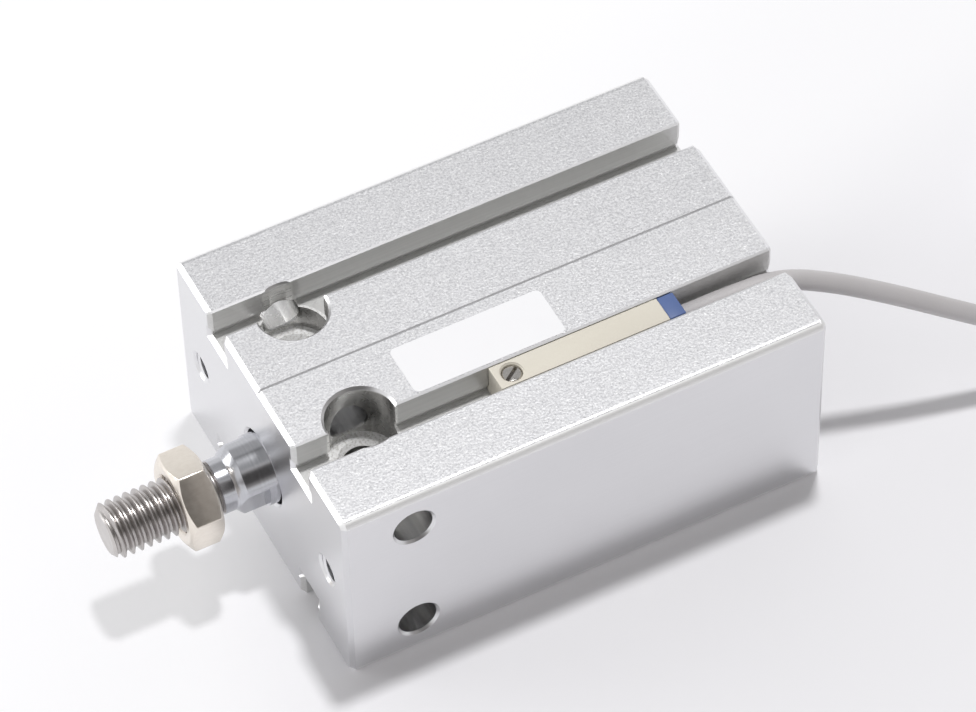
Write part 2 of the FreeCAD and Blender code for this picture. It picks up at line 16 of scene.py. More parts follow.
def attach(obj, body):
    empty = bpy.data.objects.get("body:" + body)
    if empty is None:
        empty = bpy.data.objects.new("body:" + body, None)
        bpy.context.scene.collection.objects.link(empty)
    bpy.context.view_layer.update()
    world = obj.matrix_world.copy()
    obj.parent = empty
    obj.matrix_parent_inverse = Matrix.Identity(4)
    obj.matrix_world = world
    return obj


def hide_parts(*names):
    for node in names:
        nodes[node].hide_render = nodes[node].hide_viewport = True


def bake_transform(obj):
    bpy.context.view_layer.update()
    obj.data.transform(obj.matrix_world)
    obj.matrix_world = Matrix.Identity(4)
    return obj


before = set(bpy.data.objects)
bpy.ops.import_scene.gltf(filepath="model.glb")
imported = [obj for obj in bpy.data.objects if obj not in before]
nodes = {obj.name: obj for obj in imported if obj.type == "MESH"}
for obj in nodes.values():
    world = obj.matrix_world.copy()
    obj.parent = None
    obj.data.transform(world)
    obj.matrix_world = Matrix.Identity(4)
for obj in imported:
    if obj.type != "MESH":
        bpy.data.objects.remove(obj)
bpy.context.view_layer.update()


# %% [markdown]
# The camera stands high in front of the block's rod end and looks down on it through a long lens, so
# parallel edges stay almost parallel. A camera can be placed by hand until the corners fit; here its
# place, aim, small roll and lens were worked out from the block's corners and are only typed in.

# %% Camera
def mm(*values):
    """A point or step in millimetres, as metres."""
    return Vector(value / 1000 for value in values)


def deselect():
    """Back to object mode with nothing selected, so that the next tool acts on new work only."""
    if bpy.context.mode != "OBJECT":
        bpy.ops.object.mode_set(mode="OBJECT")
    bpy.ops.object.select_all(action="DESELECT")


eye = mm(150.947, 374.789, 525.124)
target = mm(-34.701, -2.668, 0)
roll = math.radians(-1.5442)
focal_length = 185.72
deselect()
bpy.ops.object.camera_add(location=eye)
camera = bpy.context.object
camera.name = "studio_camera"
aim = (target - eye).to_track_quat("-Z", "Y").to_matrix().to_4x4()
camera.matrix_world = Matrix.Translation(eye) @ aim @ Matrix.Rotation(roll, 4, "Z")
camera.data.lens = focal_length
camera.data.dof.use_dof = False
bpy.context.scene.camera = camera
print("camera", round((target - eye).length, 3), "m from the block")


# %% [markdown]
# Most pieces start as a line of points or as a box, are extruded or spun, and are then bevelled. The steps
# that they share are wrapped once here. Some of these tools work in edit mode, on the piece open there.

# %% Modelling tools
def choose(piece):
    """Selects one piece alone and makes it the active one."""
    deselect()
    piece.select_set(True)
    bpy.context.view_layer.objects.active = piece


def smooth(piece, degrees):
    """Smooth shading, with edges sharper than the angle kept sharp."""
    choose(piece)
    bpy.ops.object.shade_smooth_by_angle(angle=math.radians(degrees))


def face_outwards(merge=None):
    """In edit mode, merges points closer than a distance, if one is given, and turns all faces outwards."""
    bpy.ops.mesh.select_all(action="SELECT")
    if merge:
        bpy.ops.mesh.remove_doubles(threshold=merge)
    bpy.ops.mesh.normals_make_consistent(inside=False)


def extrude(step):
    """In edit mode, extrudes what is selected by a step."""
    bpy.ops.mesh.extrude_region_move(TRANSFORM_OT_translate={"value": step})


def draw_line(name, points):
    """A line of vertices through the points, drawn by extruding one vertex; it stays open in edit mode."""
    deselect()
    bpy.ops.mesh.primitive_plane_add(size=0.001)
    line = bpy.context.object
    line.name = name
    bpy.ops.object.mode_set(mode="EDIT")
    bpy.ops.mesh.select_mode(type="VERT")
    bpy.ops.mesh.select_all(action="SELECT")
    bpy.ops.mesh.merge(type="CENTER")
    bpy.ops.transform.translate(value=points[0])
    for before, after in zip(points, points[1:]):
        extrude(after - before)
    bpy.ops.mesh.select_all(action="SELECT")
    bpy.ops.mesh.remove_doubles(threshold=1e-6)
    return line


def pick_faces(piece, test):
    """In edit mode, selects the faces that pass the test."""
    bpy.ops.mesh.select_mode(type="FACE")
    bpy.ops.mesh.select_all(action="DESELECT")
    mesh = bmesh.from_edit_mesh(piece.data)
    mesh.normal_update()
    for face in mesh.faces:
        face.select_set(test(face))
    bmesh.update_edit_mesh(piece.data)


def block(name, low, high):
    """A box between two corners, as a start for shaping or as a cutter."""
    deselect()
    bpy.ops.mesh.primitive_cube_add(size=1, location=(low + high) / 2, scale=high - low)
    made = bpy.context.object
    made.name = name
    bpy.ops.object.transform_apply(location=True, rotation=True, scale=True)
    return made


def apply_modifier(piece, kind, **settings):
    """Adds a modifier with these settings and applies it at once."""
    choose(piece)
    modifier = piece.modifiers.new(kind.lower(), kind)
    for name, setting in settings.items():
        setattr(modifier, name, setting)
    bpy.ops.object.modifier_apply(modifier=modifier.name)


def bevel(piece, width, segments, degrees, **more):
    """Bevels the edges that are sharper than the angle."""
    apply_modifier(
        piece, "BEVEL", width=width, segments=segments,
        limit_method="ANGLE", angle_limit=math.radians(degrees), **more,
    )


print("modelling tools ready")


# %% [markdown]
# The switch's lead is a limp round cable. It leaves the blue end of the switch along the slot, drops over
# the block's rear edge and runs off to a coil of its spare length. A cable could be swept along arcs, but
# one smooth spline with a few control points hangs more naturally, so the route is a NURBS line. The coil
# is wound by a loop: three turns outside to inside on the floor, three more on top of them, and the rest
# above those. Each change of turn or layer is eased over a short angle.

# %% Route of the lead
cable = 2.8
lead_diameter = cable / 1000
slot_middle, slot_height = 12.5, 12.75
switch_back, rear_face = -55.3, -70.5
lead_start = mm(switch_back, slot_middle, slot_height)
lead_route = [lead_start, mm((switch_back + rear_face) / 2, slot_middle, slot_height)]

coil_middle, coil_height, outer_turn = (-132.0, 8.0), -14.0, 19.6
coil_entry = 76.0
coil_turns = 8.4
points_per_turn = 24
ease = 39.0
falling_points = [
    # how far behind the block, how far out from the slot's middle, and the share of the drop
    (-0.3, 0.5, 0.0), (6.7, 2.5, 0.1), (14.1, 5.4, 0.235), (21.5, 8.0, 0.4), (28.9, 10.4, 0.57),
    (35.9, 12.4, 0.745), (42.5, 13.9, 0.885), (48.3, 14.6, 0.965), (52.9, 14.8, 0.998),
]
coil_moves = [
    # where the move starts in degrees, then its sideways and its upward step
    (360 - ease, -cable, 0), (720 - ease, -cable, 0), (1080 - 2 * ease, 0, cable),
    (1440 - 3 * ease, cable, 0), (1800 - 3 * ease, cable, 0), (2160 - 4 * ease, 0, cable),
    (2520 - 5 * ease, -cable, 0), (2880 - 5 * ease, -cable, 0),
]


def on_coil(radius, angle, height):
    """A point of the coil from its radius, its angle in degrees and its height."""
    turn = math.radians(angle)
    return mm(coil_middle[0] + radius * math.cos(turn), coil_middle[1] + radius * math.sin(turn), height)


for behind, out, share in falling_points:
    drop = share * (coil_height - slot_height)
    lead_route.append(mm(rear_face - behind, slot_middle + out, slot_height + drop))
for step in range(round(coil_turns * points_per_turn) + 1):
    turned = step * 360 / points_per_turn
    radius, height = outer_turn, coil_height
    for start, sideways, upward in coil_moves:
        done = min(1, max(0, (turned - start) / ease))
        eased = done * done * (3 - 2 * done)
        radius += sideways * eased
        height += upward * eased
    lead_route.append(on_coil(radius, coil_entry + turned, height))
print("lead route:", len(lead_route), "control points")


# %% [markdown]
# The line becomes a round cable by giving the spline a bevel, closing its ends and turning it into a mesh.
# The line itself is read once without a bevel, as a list of points.

# %% Lead
def spline_line(name, points, detail=8):
    """A smooth open NURBS curve over the control points, with that many steps from one to the next."""
    curve = bpy.data.curves.new(name, "CURVE")
    curve.dimensions = "3D"
    spline = curve.splines.new("NURBS")
    spline.points.add(len(points) - 1)
    for control, place in zip(spline.points, points):
        control.co = (*place, 1.0)
    spline.order_u = 3
    spline.use_endpoint_u = True
    spline.resolution_u = detail
    line = bpy.data.objects.new(name, curve)
    bpy.context.scene.collection.objects.link(line)
    return line


def points_along(line):
    """The points of a curve that has no bevel, in order."""
    bpy.context.view_layer.update()
    mesh = bpy.data.meshes.new_from_object(line)
    points = [vertex.co.copy() for vertex in mesh.vertices]
    bpy.data.meshes.remove(mesh)
    return points


def make_tube(line, diameter, roundness):
    """Turns the curve into a closed round tube of that diameter, as a mesh."""
    line.data.bevel_depth = diameter / 2
    line.data.bevel_resolution = roundness
    line.data.use_fill_caps = True
    choose(line)
    bpy.ops.object.convert(target="MESH")
    tube = bpy.context.object
    bpy.ops.object.mode_set(mode="EDIT")
    face_outwards(merge=1e-6)
    smooth(tube, 40)
    return tube


lead_line = spline_line("lead", lead_route)
lead_path = points_along(lead_line)
lead = make_tube(lead_line, lead_diameter, roundness=6)
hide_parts("switch_lead", "lead_coil")
mm(-69.0, slot_middle, slot_height)
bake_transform(lead)


# %% [markdown]
# At the far end the jacket is cut back and two thin cores come out, brown and blue, each with a bare tinned
# tip. They rise out of the jacket and lie on the coil's top turns. Each is its own small spline.

# %% Cores of the lead
jacket_end = coil_entry + 360 * coil_turns
inner_turn, on_top = 14.0, -6.4
quarter_length = 6.75
core_diameter, tip_diameter = 0.0011, 0.0007
insulated_share = 0.84


def core_route(side, drift):
    """From inside the jacket's end up to the coil's top, then along it."""
    route = [
        on_coil(inner_turn + 0.5 * side, jacket_end - 3, -8.4),
        on_coil(inner_turn + 0.55 * side, jacket_end + 5, -8.3),
        on_coil(inner_turn + 0.6 * side + 0.3 * drift, jacket_end + 14, -7.2),
        on_coil(inner_turn + 0.6 * side + 0.7 * drift, jacket_end + 23, on_top),
    ]
    for quarter in (1.5, 2, 2.5, 3, 3.5, 4):
        radius = inner_turn + 0.6 * side + quarter * drift
        angle = quarter * math.degrees(quarter_length / radius)
        route.append(on_coil(radius, jacket_end + angle, on_top))
    return route


cores = []
for colour, side, drift in (("brown", -1, 0.3), ("blue", 1, 0.9)):
    line = spline_line("core_" + colour, core_route(side, drift))
    path = points_along(line)
    bpy.data.objects.remove(line)
    insulation_end = int(len(path) * insulated_share)
    covered, bare = path[: insulation_end + 1], path[insulation_end - 1:]
    core = make_tube(spline_line("core_" + colour, covered, 1), core_diameter, roundness=4)
    tip = make_tube(spline_line("core_tip_" + colour, bare, 1), tip_diameter, roundness=3)
    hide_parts("lead_core_" + colour)
    "core_" + colour
    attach(core, "cylinder")
    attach(tip, "cylinder")
    cores += [core, tip]
    print("core", colour, "with", len(core.data.polygons), "faces")


# %% [markdown]
# A flat nylon tie holds the coil. A strap like this is a ribbon that closes on itself through a little
# locking head. The ribbon is drawn as a line of points round the coil's section, widened by an extrude
# and thickened by a modifier; the head is a block with an inset mouth, bevelled all round.

# %% Coil tie
strap_width = 3.0
ribbon = [
    (13.1, -15.9), (20.5, -15.9), (21.5, -14.9), (21.5, -7.5),
    (20.5, -6.55), (13.1, -6.55), (12.1, -7.5), (12.1, -14.9), (13.1, -15.9),
]
tie = draw_line("coil_tie_strap", [mm(across, -strap_width / 2, up) for across, up in ribbon])
bpy.ops.mesh.select_all(action="SELECT")
extrude(mm(0, strap_width, 0))
face_outwards()
apply_modifier(tie, "SOLIDIFY", thickness=0.0004, offset=-1)
head = block("tie_head", mm(21.45, -strap_width / 2, -12.7), mm(23.4, strap_width / 2, -9.7))
bpy.ops.object.mode_set(mode="EDIT")
pick_faces(head, lambda face: face.normal.z > 0.9)
bpy.ops.mesh.inset(thickness=0.0005)
extrude(mm(0, 0, -1.2))
choose(tie)
head.select_set(True)
bpy.ops.object.join()
bevel(tie, 0.00012, 2, 50)
tie.data.transform(Matrix.Translation(mm(*coil_middle, 0)) @ Matrix.Rotation(math.radians(130), 4, "Z"))
smooth(tie, 40)
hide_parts("coil_tie")
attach(tie, "cylinder")
print("tie:", len(tie.data.polygons), "faces")


# %% [markdown]
# Several pieces are turned or threaded. A turned shape is one profile spun about an axis. A thread could be
# faked with rings, but rings don't climb, so one tooth's profile is wound up by the Screw modifier and
# cut square at both ends. These tools make such shapes and join or cut them.

# %% Turned shapes and cuts
def lathe(name, profile, axis="X", centre=(0, 0, 0), steps=64):
    """Spins a profile of (along, radius) pairs in millimetres about X or Z through the centre."""
    x_way, z_way = Vector((1, 0, 0)), Vector((0, 0, 1))
    along, out = (x_way, z_way) if axis == "X" else (z_way, x_way)
    made = draw_line(name, [mm(*centre) + along * (a / 1000) + out * (r / 1000) for a, r in profile])
    bpy.ops.mesh.select_all(action="SELECT")
    bpy.ops.mesh.spin(steps=steps, angle=math.tau, center=mm(*centre), axis=along)
    face_outwards(merge=1e-6)
    deselect()
    return made


def combine(piece, other, operation):
    """A Boolean of two closed shapes; the second is used up."""
    apply_modifier(piece, "BOOLEAN", object=other, operation=operation, solver="EXACT")
    bpy.data.objects.remove(other)


def wind(name, profile, pitch, turns, steps):
    """Winds a profile of (along, radius) pairs, in millimetres, into a right-hand screw along X."""
    made = draw_line(name, [mm(a, 0, r) for a, r in profile])
    apply_modifier(
        made, "SCREW", axis="X", angle=math.tau, screw_offset=pitch / 1000, iterations=turns, steps=steps,
        render_steps=steps, use_merge_vertices=True, merge_threshold=1e-6,
    )
    bpy.ops.object.mode_set(mode="EDIT")
    face_outwards(merge=2e-6)
    deselect()
    return made


def cut_square(piece, x_low, x_high):
    """Cuts a shape off square at two places along X and closes the cuts."""
    choose(piece)
    bpy.ops.object.mode_set(mode="EDIT")
    for place, way in ((x_low, -1), (x_high, 1)):
        bpy.ops.mesh.select_all(action="SELECT")
        bpy.ops.mesh.bisect(
            plane_co=mm(place, 0, 0), plane_no=(way, 0, 0), use_fill=True, clear_outer=True, threshold=1e-7
        )
    face_outwards()
    deselect()


print("turning tools ready")


# %% [markdown]
# The piston rod is a turned bar, and its visible end is a shank with two wrench flats, a neck and a thread.
# The thread is wound, cut square and trimmed with a chamfered blank. The flats are cut before the two join.

# %% Piston rod
thread_pitch = 1.25
tooth = [
    (0, 3.24), (0.04, 3.22), (0.27, 3.22), (0.31, 3.24), (0.66, 3.93), (0.71, 3.98),
    (0.82, 3.98), (0.87, 3.93), (1.21, 3.26), (thread_pitch, 3.24),
]
thread = wind("rod_thread", [(5.0 + a, r) for a, r in tooth], thread_pitch, turns=17, steps=56)
cut_square(thread, 7.1, 23.3)
thread_blank = lathe("thread_blank", [
    (7.0, 0), (7.0, 3.2), (7.8, 4.2), (21.95, 4.2), (23.0, 3.0), (23.0, 0),
])
combine(thread, thread_blank, "INTERSECT")
rod = lathe("rod", [
    (-59.35, 0), (-59.35, 3.5), (-37.58, 3.5), (-37.58, 5.0), (4.15, 5.0), (4.25, 4.96), (5.3, 3.89),
    (5.4, 3.82), (5.5, 3.8), (7.15, 3.8), (7.4, 3.45), (7.4, 0),
])
flat_turn = Matrix.Rotation(math.radians(-19), 4, "X")
for near, far in ((4, 10), (-10, -4)):
    flat = block("flat_cutter", mm(1.2, near, -10), mm(5.4, far, 10))
    flat.data.transform(flat_turn)
    combine(rod, flat, "DIFFERENCE")
combine(rod, thread, "UNION")
rod.name = "piston_rod_threaded"
smooth(rod, 28)
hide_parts("piston_rod")
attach(rod, "rod")
print("rod:", len(rod.data.polygons), "faces")


# %% [markdown]
# The lock nut is a hexagon whose corners are cut back by a turned chamfer on both faces. That is how a real
# one is made, so it is made the same way: a six-sided bar meets a chamfered disc, and the bore and its two
# countersinks are cut through. A thin bevel on the edges catches the light.

# %% Rod nut
nut_back, nut_front = 8.2, 13.2
across_flats = 12.0
corner = across_flats / math.sqrt(3)
face_radius = 0.93 * across_flats / 2
rise = (corner - face_radius) * math.tan(math.radians(30))
bore_radius, countersink = 4.05, 0.4
mouth_radius = bore_radius + countersink + 1
nut = lathe("nut", [(nut_back, 0), (nut_back, corner), (nut_front, corner), (nut_front, 0)], steps=6)
nut.data.transform(Matrix.Rotation(math.radians(17.3 - 90), 4, "X"))
bevel(nut, 0.00022, 3, 50)
nut_blank = lathe("nut_blank", [
    (nut_back, 0), (nut_back, face_radius), (nut_back + rise, corner),
    (nut_front - rise, corner), (nut_front, face_radius), (nut_front, 0),
], steps=96)
combine(nut, nut_blank, "INTERSECT")
nut_bore = lathe("nut_bore", [
    (nut_back - 1, 0), (nut_back - 1, mouth_radius), (nut_back + countersink, bore_radius),
    (nut_front - countersink, bore_radius), (nut_front + 1, mouth_radius), (nut_front + 1, 0),
])
combine(nut, nut_bore, "DIFFERENCE")
bevel(nut, 0.00008, 2, 22, use_clamp_overlap=False)
nut.name = "lock_nut"
smooth(nut, 30)
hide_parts("rod_nut")
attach(nut, "rod_nut")
print("nut:", len(nut.data.polygons), "faces")


# %% [markdown]
# The switch is a moulded strip that fills the slot: a narrow body on a wider foot under the slot's lips. Its
# section is drawn as a line, filled and extruded along the slot. The blue end is the same section. The
# screw hole and the pocket for the board are cut, and the moulded edges get a small rounding.

# %% Switch
def switch_strip(name, x_front, x_back):
    """The switch's section between two places along the slot."""
    half = [(2.4, 11.05), (2.4, 11.95), (1.95, 11.95), (1.95, 15.85)]
    section = half + [(-across, up) for across, up in reversed(half)]
    points = [mm(x_front, slot_middle + across, up) for across, up in section]
    strip = draw_line(name, points + points[:1])
    bpy.ops.mesh.select_all(action="SELECT")
    bpy.ops.mesh.edge_face_add()
    extrude(mm(x_back - x_front, 0, 0))
    face_outwards()
    deselect()
    return strip


screw_place = (-30.6, slot_middle, 0)
housing = switch_strip("switch_moulding", -28.2, -52.9)
combine(housing, block("pocket", mm(-54, 11.15, 11.95), mm(-38.9, 13.85, 14.75)), "DIFFERENCE")
screw_hole = lathe("screw_hole", [
    (10, 0), (10, 1.45), (15.6, 1.45), (15.75, 1.6), (17, 1.6), (17, 0),
], "Z", screw_place, steps=48)
combine(housing, screw_hole, "DIFFERENCE")
band = switch_strip("switch_band", -52.92, switch_back)
for moulding, node, finish_slot in (
    (housing, "switch_housing", "switch_ivory"), (band, "switch_end_band", "switch_blue"),
):
    bevel(moulding, 0.00016, 3, 40)
    smooth(moulding, 35)
    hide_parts(node)
    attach(moulding, "switch")
    print(moulding.name, len(moulding.data.polygons), "faces")


# %% [markdown]
# A small slotted set screw clamps the switch against the slot's floor. It is turned with a chamfered
# head edge and a cup point, and its slot is cut by a thin box turned to the angle it was left at.

# %% Switch screw
screw = lathe("clamp_screw", [
    (11.35, 0), (11.1, 0.7), (11.1, 0.95), (11.45, 1.4), (15.3, 1.4), (15.5, 1.2), (15.5, 0),
], "Z", screw_place, steps=48)
slot_cutter = block("screw_slot", mm(-2, -0.25, 14.8), mm(2, 0.25, 16))
slot_cutter.data.transform(Matrix.Translation(mm(*screw_place)) @ Matrix.Rotation(math.radians(35), 4, "Z"))
combine(screw, slot_cutter, "DIFFERENCE")
bevel(screw, 0.00004, 1, 40)
smooth(screw, 30)
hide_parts("switch_screw")
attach(screw, "switch_screw")
print("screw:", len(screw.data.polygons), "faces")


# %% [markdown]
# The two fixing holes in the front face and the two air ports are tapped. The solids have them at the
# drill's size, so a fine ridge is wound inside each as its thread. One ridge is modelled and copied to the
# four holes, each copy with its own mesh.

# %% Tapped holes
ridge_profile = [(0, 2.12), (0.26, 1.74), (0.34, 1.74), (0.6, 2.12), (0, 2.12)]
ridge = wind("tap_ridge", ridge_profile, pitch=0.8, turns=7, steps=40)
choose(ridge)
bpy.ops.object.mode_set(mode="EDIT")
bpy.ops.mesh.select_all(action="SELECT")
bpy.ops.mesh.fill_holes(sides=0)
face_outwards()
cut_square(ridge, -1, 5.69)
smooth(ridge, 40)
into_side = Matrix.Rotation(math.radians(-90), 4, "Z")
tapped = {
    "front_tap_thread_a": Matrix.Translation(mm(-6.04, 19, 0)),
    "front_tap_thread_b": Matrix.Translation(mm(-6.04, -19, 0)),
    "front_port_thread": Matrix.Translation(mm(-19.1, -18.96, 0)) @ into_side,
    "rear_port_thread": Matrix.Translation(mm(-57.4, -18.96, 0)) @ into_side,
}
tap_threads = []
for name, place in tapped.items():
    choose(ridge)
    bpy.ops.object.duplicate()
    copy = bpy.context.object
    copy.name = name
    copy.data.transform(place)
    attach(copy, "cylinder")
    tap_threads.append(copy)
bpy.data.objects.remove(ridge)
print("tapped holes:", [piece.name for piece in tap_threads])


# %% [markdown]
# Finishes are node trees. Their maths is easier to read as Python, so a small class wraps a socket: its
# operators add Math nodes, and one method adds any other node.

# %% Sockets as values
class Value:
    """A socket of a finish. Operators on it add Math nodes to its tree."""

    def __init__(self, tree, socket=None):
        self.tree = tree
        self.socket = socket

    def feed(self, socket, value):
        """Links another value to a socket, or sets a plain number or colour on it."""
        if isinstance(value, Value):
            self.tree.links.new(value.socket, socket)
        elif socket.type == "RGBA":
            socket.default_value = (*value[:3], 1.0)
        else:
            socket.default_value = value

    def node(self, kind, settings=None, inputs=None, output=0):
        """Adds a node: settings first, then its sockets. Gives the chosen output."""
        made = self.tree.nodes.new("ShaderNode" + kind)
        for name, setting in (settings or {}).items():
            if name == "stops":
                elements = made.color_ramp.elements
                elements[0].position, elements[1].position = setting[0][0], setting[-1][0]
                for place, _ in setting[1:-1]:
                    elements.new(place)
                for element, (_, colour) in zip(elements, setting):
                    element.color = (*colour, 1.0)
            else:
                setattr(made, name, setting)
        for name, value in (inputs or {}).items():
            self.feed(made.inputs[name], value)
        return Value(self.tree, made.outputs[output])

    def math(self, operation, *values):
        """A Math node on these values."""
        return self.node("Math", {"operation": operation}, dict(enumerate(values)))

    def mix(self, low, high):
        """A colour between two, by this value."""
        return self.node("Mix", {"data_type": "RGBA"}, {0: self, 6: low, 7: high}, 2)

    def between(self, low, high):
        """0 below low, 1 above high, eased between them."""
        settings = {"interpolation_type": "SMOOTHSTEP"}
        return self.node("MapRange", settings, {"Value": self, "From Min": low, "From Max": high})

    def below(self, low, high):
        """1 below low, 0 above high, eased between them."""
        return 1 - self.between(low, high)

    def __add__(self, other):
        return self.math("ADD", self, other)

    def __radd__(self, other):
        return self.math("ADD", other, self)

    def __sub__(self, other):
        return self.math("SUBTRACT", self, other)

    def __rsub__(self, other):
        return self.math("SUBTRACT", other, self)

    def __mul__(self, other):
        return self.math("MULTIPLY", self, other)

    def __rmul__(self, other):
        return self.math("MULTIPLY", other, self)

    def __abs__(self):
        return self.math("ABSOLUTE", self)


print("values ready")


# %% [markdown]
# A few more tools make the common steps short: starting a material, reading parts of a vector, noise,
# bump, and giving a finish to its pieces. Every pattern lies on the Object coordinates, so it stays
# put on its piece and has a real size.

# %% Finish tools
def seen(red, green, blue):
    """A colour as it looks on a screen, 0 to 255, as the light values that a shader takes."""
    shares = [c / 255 for c in (red, green, blue)]
    return tuple(c / 12.92 if c <= 0.04045 else ((c + 0.055) / 1.055) ** 2.4 for c in shares)


def start_finish(name):
    """A new material, the start of its node tree, and the place on its piece."""
    material = bpy.data.materials.new(name)
    material.use_nodes = True
    tree = Value(material.node_tree)
    return material, tree, tree.node("TexCoord", output="Object")


def shade(material, **sockets):
    """Sets or links the sockets of the material's own shader. Base_Color stands for Base Color."""
    tree = Value(material.node_tree)
    shader = material.node_tree.nodes["Principled BSDF"]
    for name, value in sockets.items():
        tree.feed(shader.inputs[name.replace("_", " ")], value)


def part_of(vector, axis):
    """One part of a vector as a value."""
    return vector.node("SeparateXYZ", None, {"Vector": vector}, axis)


def reach(vector):
    """The length of a vector as a value."""
    return vector.node("VectorMath", {"operation": "LENGTH"}, {0: vector}, "Value")


def reach_along(vector, direction):
    """How far a vector reaches along a fixed direction."""
    return vector.node("VectorMath", {"operation": "DOT_PRODUCT"}, {0: vector, 1: direction}, "Value")


def stretched(tree, place, x, y, z):
    """The place with its axes scaled, so that a pattern on it is drawn out."""
    return tree.node("Mapping", None, {"Vector": place, "Scale": (x, y, z)})


def noise(tree, place, scale, detail=2.0, roughness=0.5):
    """Soft noise with that many features per metre."""
    inputs = {"Vector": place, "Scale": scale, "Detail": detail, "Roughness": roughness}
    return tree.node("TexNoise", None, inputs)


def bump(tree, height, distance, strength):
    """A normal from a height between 0 and 1, over a depth in metres."""
    return tree.node("Bump", None, {"Height": height, "Distance": distance, "Strength": strength})


def paint(material, *pieces):
    """Gives each piece this one material."""
    for piece in pieces:
        piece.data.materials.clear()
        piece.data.materials.append(material)


print("finish tools ready")


# %% [markdown]
# The block is extruded aluminium, anodised clear, and one finish does all of it. Its zones come first: each
# is a mask worked out from the place and the normal. The block is alike on both sides and on both wide
# faces, so the masks use distances from its middle planes.

# %% Zones of the block
block_finish, tree, place = start_finish("clear_anodised_aluminium")
facing = tree.node("TexCoord", output="Normal")
upright = abs(part_of(facing, "Z"))
along, sideways, height = part_of(place, "X"), abs(part_of(place, "Y")), abs(part_of(place, "Z"))
blasted = height.between(0.0060, 0.0066) * upright.between(0.9, 0.98)
at_edge = sideways.between(0.0236, 0.0240) * height.between(0.0146, 0.0150)
# painted highlight: a near-white colour on the rounded long edges stands in for their bright reflection
painted_highlight_edge = at_edge * upright.between(0.10, 0.30) * upright.below(0.90, 0.94)
# painted dark reflection: a small patch at the near front corner is darkened
painted_dark_corner = along.between(-0.00064, -0.00058) * sideways.between(0.02436, 0.02442) * (1 - upright)
# painted shade: the centre groove on the wide faces is darkened
painted_shade_groove = sideways.below(0.00017, 0.00021) * height.between(0.0155, 0.0157)

from_slot = abs(sideways - slot_middle / 1000)
slot_depth = height.between(0.0104, 0.0107) * height.below(0.01572, 0.01582)
in_slot = from_slot.below(0.00262, 0.00270) * slot_depth

hole_offset = 0.010
from_holes = along + hole_offset
from_top_hole = reach(tree.node("CombineXYZ", None, {"X": from_holes, "Y": sideways - hole_offset}))
from_side_hole = reach(tree.node("CombineXYZ", None, {"X": from_holes, "Y": height - hole_offset}))
in_top_hole = from_top_hole.below(0.0050, 0.0052) * height.below(0.0153, 0.0157)
in_side_hole = from_side_hole.below(0.0029, 0.0030) * sideways.below(0.0243, 0.0247)
seat = in_top_hole * upright.between(0.4, 0.6)
# painted shade: the counterbore wall that faces the front gets a darker colour
painted_shade_rear_wall = in_top_hole * part_of(facing, "X").between(0.1, 0.7)
# partly painted light: this stretch of the cross hole is smoother, and its lighter colour is painted light
smooth_hole_painted_light = in_side_hole * sideways.below(0.0200, 0.0210) * sideways.between(0.0060, 0.0120)
print("zones of the block ready")


# %% [markdown]
# The wide faces are bead-blasted and sparkle with a fine grain; the narrow sides and ends are smooth satin.
# The long edges get a near-white colour, a painted highlight for their bright reflection; the centre groove
# gets a darker colour, painted shade, and a small patch at the near front corner a painted dark reflection.
# Slots are as drawn from the die, with lines along them. Holes show the streaks of the drill and a grainy
# seat; the rear wall of each counterbore is darker, painted shade, and the stretch between counterbore and
# side is smoother, with a lighter colour that is painted light.

# %% Block finish
grain = noise(tree, place, 3200, 3, 0.65)
flakes = tree.node("TexVoronoi", None, {"Vector": place, "Scale": 3600, "Randomness": 1.0}, "Color")
flake = tree.node("SeparateColor", None, {"Color": flakes}, "Red")
sparkle = flake.between(0.86, 1.0) * blasted
lines = noise(tree, stretched(tree, place, 30, 2600, 2600), 1)
cloud = noise(tree, place, 60)
down_streaks = noise(tree, stretched(tree, place, 1500, 1500, 60), 1)
side_streaks = noise(tree, stretched(tree, place, 1500, 60, 1500), 1)

tone = 0.58 + blasted * (1.6 * grain - 1.04) + 0.10 * (cloud - 0.5) + 0.06 * (lines - 0.5)
# painted dark reflection: the patch at the near front corner is darkened
tone = tone + 0.45 * sparkle - 0.13 * painted_dark_corner
colour = tone.node("ValToRGB", {"stops": [
    (0.0, seen(188, 188, 191)), (0.5, seen(224, 224, 226)), (1.0, seen(253, 253, 254)),
]}, {"Fac": tone})
# painted highlight: the rounded long edges are lifted to near white
colour = painted_highlight_edge.mix(colour, seen(250, 250, 250))
# painted shade: the centre groove is darkened
colour = (0.4 * painted_shade_groove).mix(colour, seen(150, 150, 152))
for zone, pattern, dark, light in (
    (in_slot, lines, seen(208, 208, 207), seen(228, 228, 227)),
    (in_side_hole, side_streaks, seen(206, 206, 208), seen(252, 252, 252)),
    # painted light: the cross hole between counterbore and side gets a lighter colour
    (smooth_hole_painted_light, side_streaks, seen(246, 245, 243), seen(255, 255, 253)),
    (in_top_hole, down_streaks, seen(232, 231, 229), seen(255, 255, 253)),
    # painted shade: the rear wall of each counterbore is darker
    (painted_shade_rear_wall, down_streaks, seen(146, 145, 143), seen(190, 189, 187)),
    (seat, grain.between(0.34, 0.56), seen(216, 215, 212), seen(255, 255, 255)),
):
    colour = zone.mix(colour, pattern.mix(dark, light))

roughness = 0.32 + 0.12 * blasted - 0.1 * sparkle + 0.05 * (lines - 0.5) + 0.3 * painted_highlight_edge
roughness = roughness + 0.4 * painted_shade_groove + 0.16 * seat - 0.04 * in_top_hole - 0.12 * smooth_hole_painted_light
surface = grain * blasted + 0.5 * flake * blasted + 0.035 * lines * (1 - blasted) + 0.8 * grain * seat
shade(
    block_finish, Base_Color=colour, Metallic=1.0 - 0.85 * seat - 0.45 * in_slot, Roughness=roughness,
    Normal=bump(tree, surface, 0.00006, 0.55),
)
paint(block_finish, nodes["cylinder_body"], *tap_threads)
print("finish:", block_finish.name)


# %% [markdown]
# The rod is hard-chromed and ground, so it mirrors with faint lines round it. Its thread is duller and
# warmer, with a lighter tip. The nut is nickel-plated with a warm tint and small marks.

